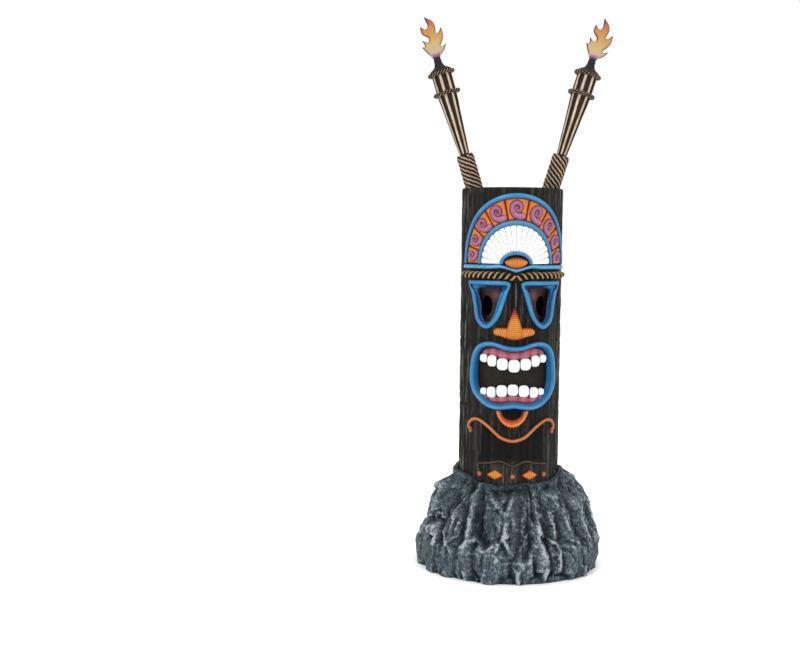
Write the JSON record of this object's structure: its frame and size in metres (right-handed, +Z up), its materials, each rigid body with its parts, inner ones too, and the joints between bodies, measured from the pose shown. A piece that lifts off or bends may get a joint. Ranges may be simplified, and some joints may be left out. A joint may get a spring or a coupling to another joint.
{
  "type": "carved tiki totem with torches",
  "caption": "Standing log totem carved with a painted face under an arched headdress, set in a moulded rock base, with a leaning bamboo-style torch plugged in at each side of the top.",
  "frame": {"origin": "on the floor, on the log's centre line, in the middle of the base board's lower face", "axes": "+Z up along the log; -Y is the way the face looks; +X is the viewer's right when looking at the face"},
  "size_m": [0.6729, 0.6638, 1.9004],
  "materials": {
    "rock": "rough moulded stone finish, dry-brushed pale on the ridges",
    "board": "plain sealed board",
    "log": "dark stained bark with grey-green dry-brushing",
    "dark_inside": "matt black",
    "blue_paint": "satin blue paint, lighter on the crests",
    "teal_paint": "satin teal-blue paint",
    "orange_paint": "satin orange paint with red-brown edges",
    "mauve_paint": "satin mauve paint",
    "white_paint": "satin white paint",
    "pink_paint": "satin pink paint with darker creases",
    "socket_paint": "matt red-brown with grey dry-brushing",
    "rope": "twisted fibre rope over a dark wash",
    "bamboo": "pale cane staves",
    "dark_cane": "dark stained cane",
    "burner_metal": "matt charcoal",
    "flame_resin": "painted resin, yellow at the heart and red at the tips"
  },
  "bodies": {
    "totem": {"rock_shell": "rock", "base_board": "board", "log_shell": "log", "top_plate": "dark_inside", "torch_socket_left": "dark_inside", "torch_socket_right": "dark_inside", "arch_outer_band": "blue_paint", "arch_inner_band": "teal_paint", "arch_tile_1": "orange_paint", "arch_tile_2": "orange_paint", "arch_tile_3": "orange_paint", "arch_tile_4": "orange_paint", "arch_tile_5": "orange_paint", "arch_tile_6": "orange_paint", "arch_tile_7": "orange_paint", "arch_tile_8": "orange_paint", "arch_tile_9": "orange_paint", "tile_spirals": "mauve_paint", "fan_ribs": "white_paint", "gem_arch": "blue_paint", "forehead_gem": "orange_paint", "brow_band": "blue_paint", "brow_rope": "rope", "eye_frame_left": "blue_paint", "eye_frame_right": "blue_paint", "eye_socket_left": "socket_paint", "eye_socket_right": "socket_paint", "nose_bridge": "log", "nose": "orange_paint", "mouth_frame": "blue_paint", "mouth_back": "dark_inside", "upper_gum": "pink_paint", "lower_gum": "pink_paint", "upper_teeth": "white_paint", "lower_teeth": "white_paint", "chin_crescent": "orange_paint", "beard_scroll": "orange_paint", "hem_ridge": "log", "hem_diamonds": "orange_paint", "hem_studs": "orange_paint"},
    "torch_left": {"torch_core_left": "dark_cane", "torch_staves_left": "bamboo", "torch_grip_rope_left": "rope", "torch_ring_lower_left": "rope", "torch_ring_upper_left": "rope", "torch_burner_left": "burner_metal", "torch_flame_left": "flame_resin"},
    "torch_right": {"torch_core_right": "dark_cane", "torch_staves_right": "bamboo", "torch_grip_rope_right": "rope", "torch_ring_lower_right": "rope", "torch_ring_upper_right": "rope", "torch_burner_right": "burner_metal", "torch_flame_right": "flame_resin"}
  },
  "joints": [
    {"name": "torch_left_lift", "type": "slide", "parent": "totem", "child": "torch_left", "axis": [-0.2924, 0, 0.9563], "range_m": [0, 0.08]},
    {"name": "torch_right_lift", "type": "slide", "parent": "totem", "child": "torch_right", "axis": [0.2924, 0, 0.9563], "range_m": [0, 0.08]}
  ]
}
